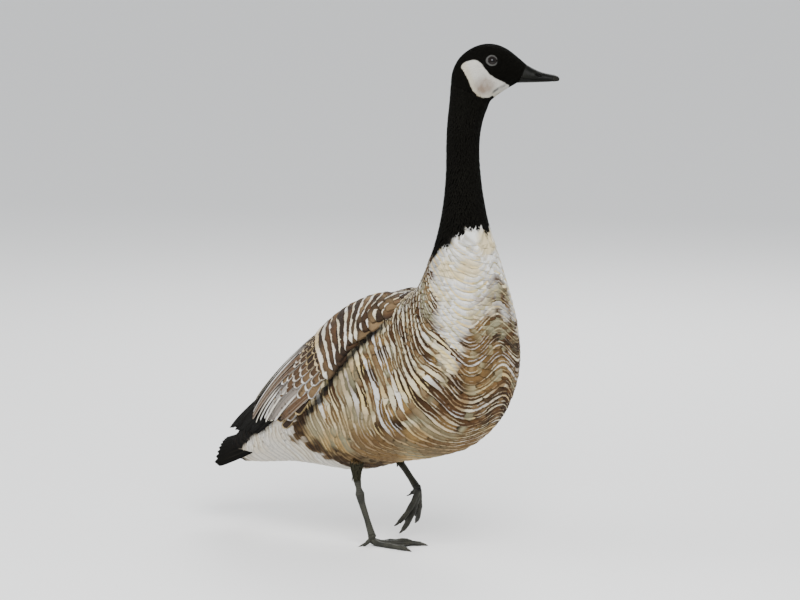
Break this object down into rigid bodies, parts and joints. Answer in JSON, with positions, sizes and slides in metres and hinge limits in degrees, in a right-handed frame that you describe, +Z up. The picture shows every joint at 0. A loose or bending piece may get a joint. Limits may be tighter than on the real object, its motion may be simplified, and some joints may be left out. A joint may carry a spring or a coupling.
{
  "type": "canada goose model",
  "caption": "Life-size still model of a Canada goose walking on one leg, head turned to its left.",
  "frame": {"origin": "on the floor, under the middle toe of the standing foot, in the body's plane of symmetry", "axes": "+X the way the body faces, +Y the bird's left, +Z up"},
  "size_m": [0.5862, 0.2186, 0.7678],
  "materials": {
    "brown_plumage": "matt barred feathers",
    "black_plumage": "matt black feathers",
    "wing_plumage": "pale-edged brown feathers",
    "bill": "satin horn",
    "eye": "wet gloss",
    "leg_skin": "scaled skin",
    "claw": "satin horn"
  },
  "bodies": {
    "root": {"torso": "brown_plumage", "neck": "black_plumage", "head": "black_plumage", "eye_left": "eye", "eye_right": "eye", "bill_upper": "bill", "bill_lower": "bill", "tail": "black_plumage", "wing_left": "wing_plumage", "wing_right": "wing_plumage", "thigh_right": "brown_plumage", "shank_right": "leg_skin", "foot_right": "leg_skin", "claw_inner_right": "claw", "claw_middle_right": "claw", "claw_outer_right": "claw", "claw_hind_right": "claw", "thigh_left": "brown_plumage", "shank_left": "leg_skin", "foot_left": "leg_skin", "claw_inner_left": "claw", "claw_middle_left": "claw", "claw_outer_left": "claw", "claw_hind_left": "claw"}
  },
  "joints": []
}
